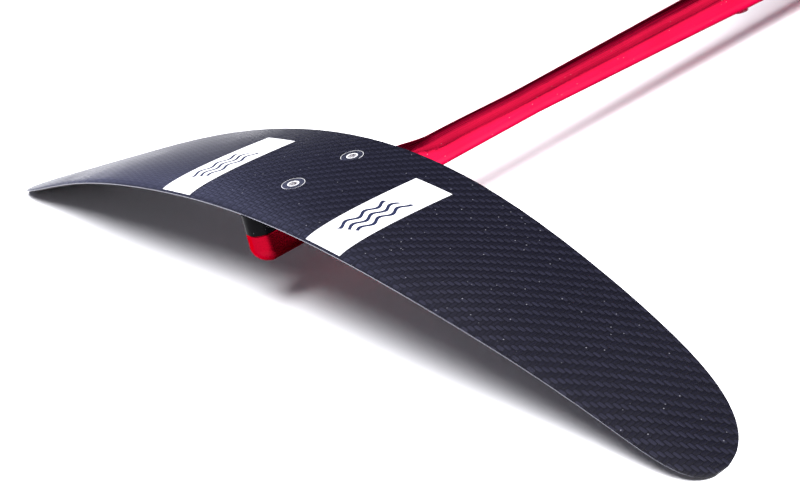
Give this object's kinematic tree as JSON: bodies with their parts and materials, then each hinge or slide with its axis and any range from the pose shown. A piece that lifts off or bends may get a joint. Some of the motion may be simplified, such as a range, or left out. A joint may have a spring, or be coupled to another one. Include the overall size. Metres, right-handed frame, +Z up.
{
  "type": "hydrofoil for a foil board",
  "caption": "Hydrofoil that stands on its wing tips: arched carbon front wing on a red aluminium fuselage, hollow mast with slotted board plate, and small rear stabiliser.",
  "frame": {"origin": "on the floor, half way along the fuselage and on its centre line", "axes": "+X aft, +Z up along the mast, +Y to starboard"},
  "size_m": [0.7512, 0.7032, 0.7942],
  "materials": {
    "carbon": "satin",
    "foam": "matte",
    "root_laminate": "matte",
    "saddle": "gloss",
    "sticker": "satin",
    "red_anodised": "satin",
    "black_anodised": "satin",
    "stainless": "satin",
    "shim": "matte"
  },
  "bodies": {
    "fuselage_body": {"fuselage": "red_anodised", "wing_thread_inserts": "stainless", "stabiliser_thread_inserts": "stainless", "stabiliser_shim": "shim"},
    "front_wing": {"front_wing_skin": "carbon", "front_wing_core": "foam", "wing_root_block": "root_laminate", "wing_saddle": "saddle", "decal_port": "sticker", "decal_starboard": "sticker"},
    "wing_fixings": {"wing_screws": "stainless"},
    "stabiliser": {"stabiliser_skin": "carbon", "stabiliser_core": "foam"},
    "stabiliser_fixings": {"stabiliser_screws": "stainless"},
    "mast_body": {"mast": "black_anodised", "mast_foot_inserts": "stainless", "mast_head_inserts": "stainless"},
    "mast_foot_fixings": {"mast_foot_screws": "stainless"},
    "plate_body": {"board_plate": "black_anodised"},
    "plate_fixings": {"board_plate_screws": "stainless"}
  },
  "joints": [
    {"name": "front_wing_lift", "type": "slide", "parent": "fuselage_body", "child": "front_wing", "axis": [0, 0, 1], "range_m": [0, 0.03]},
    {"name": "wing_screws_out", "type": "slide", "parent": "front_wing", "child": "wing_fixings", "axis": [0, 0, 1], "range_m": [0, 0.0306]},
    {"name": "stabiliser_lift", "type": "slide", "parent": "fuselage_body", "child": "stabiliser", "axis": [0, 0, 1], "range_m": [0, 0.025]},
    {"name": "stabiliser_screws_out", "type": "slide", "parent": "stabiliser", "child": "stabiliser_fixings", "axis": [0, 0, 1], "range_m": [0, 0.0207]},
    {"name": "mast_lift", "type": "slide", "parent": "fuselage_body", "child": "mast_body", "axis": [0, 0, 1], "range_m": [0, 0.04]},
    {"name": "mast_foot_screws_out", "type": "slide", "parent": "fuselage_body", "child": "mast_foot_fixings", "axis": [0, 0, -1], "range_m": [0, 0.0243]},
    {"name": "board_plate_lift", "type": "slide", "parent": "mast_body", "child": "plate_body", "axis": [0, 0, 1], "range_m": [0, 0.025]},
    {"name": "board_plate_screws_out", "type": "slide", "parent": "plate_body", "child": "plate_fixings", "axis": [0, 0, 1], "range_m": [0, 0.0208]}
  ]
}
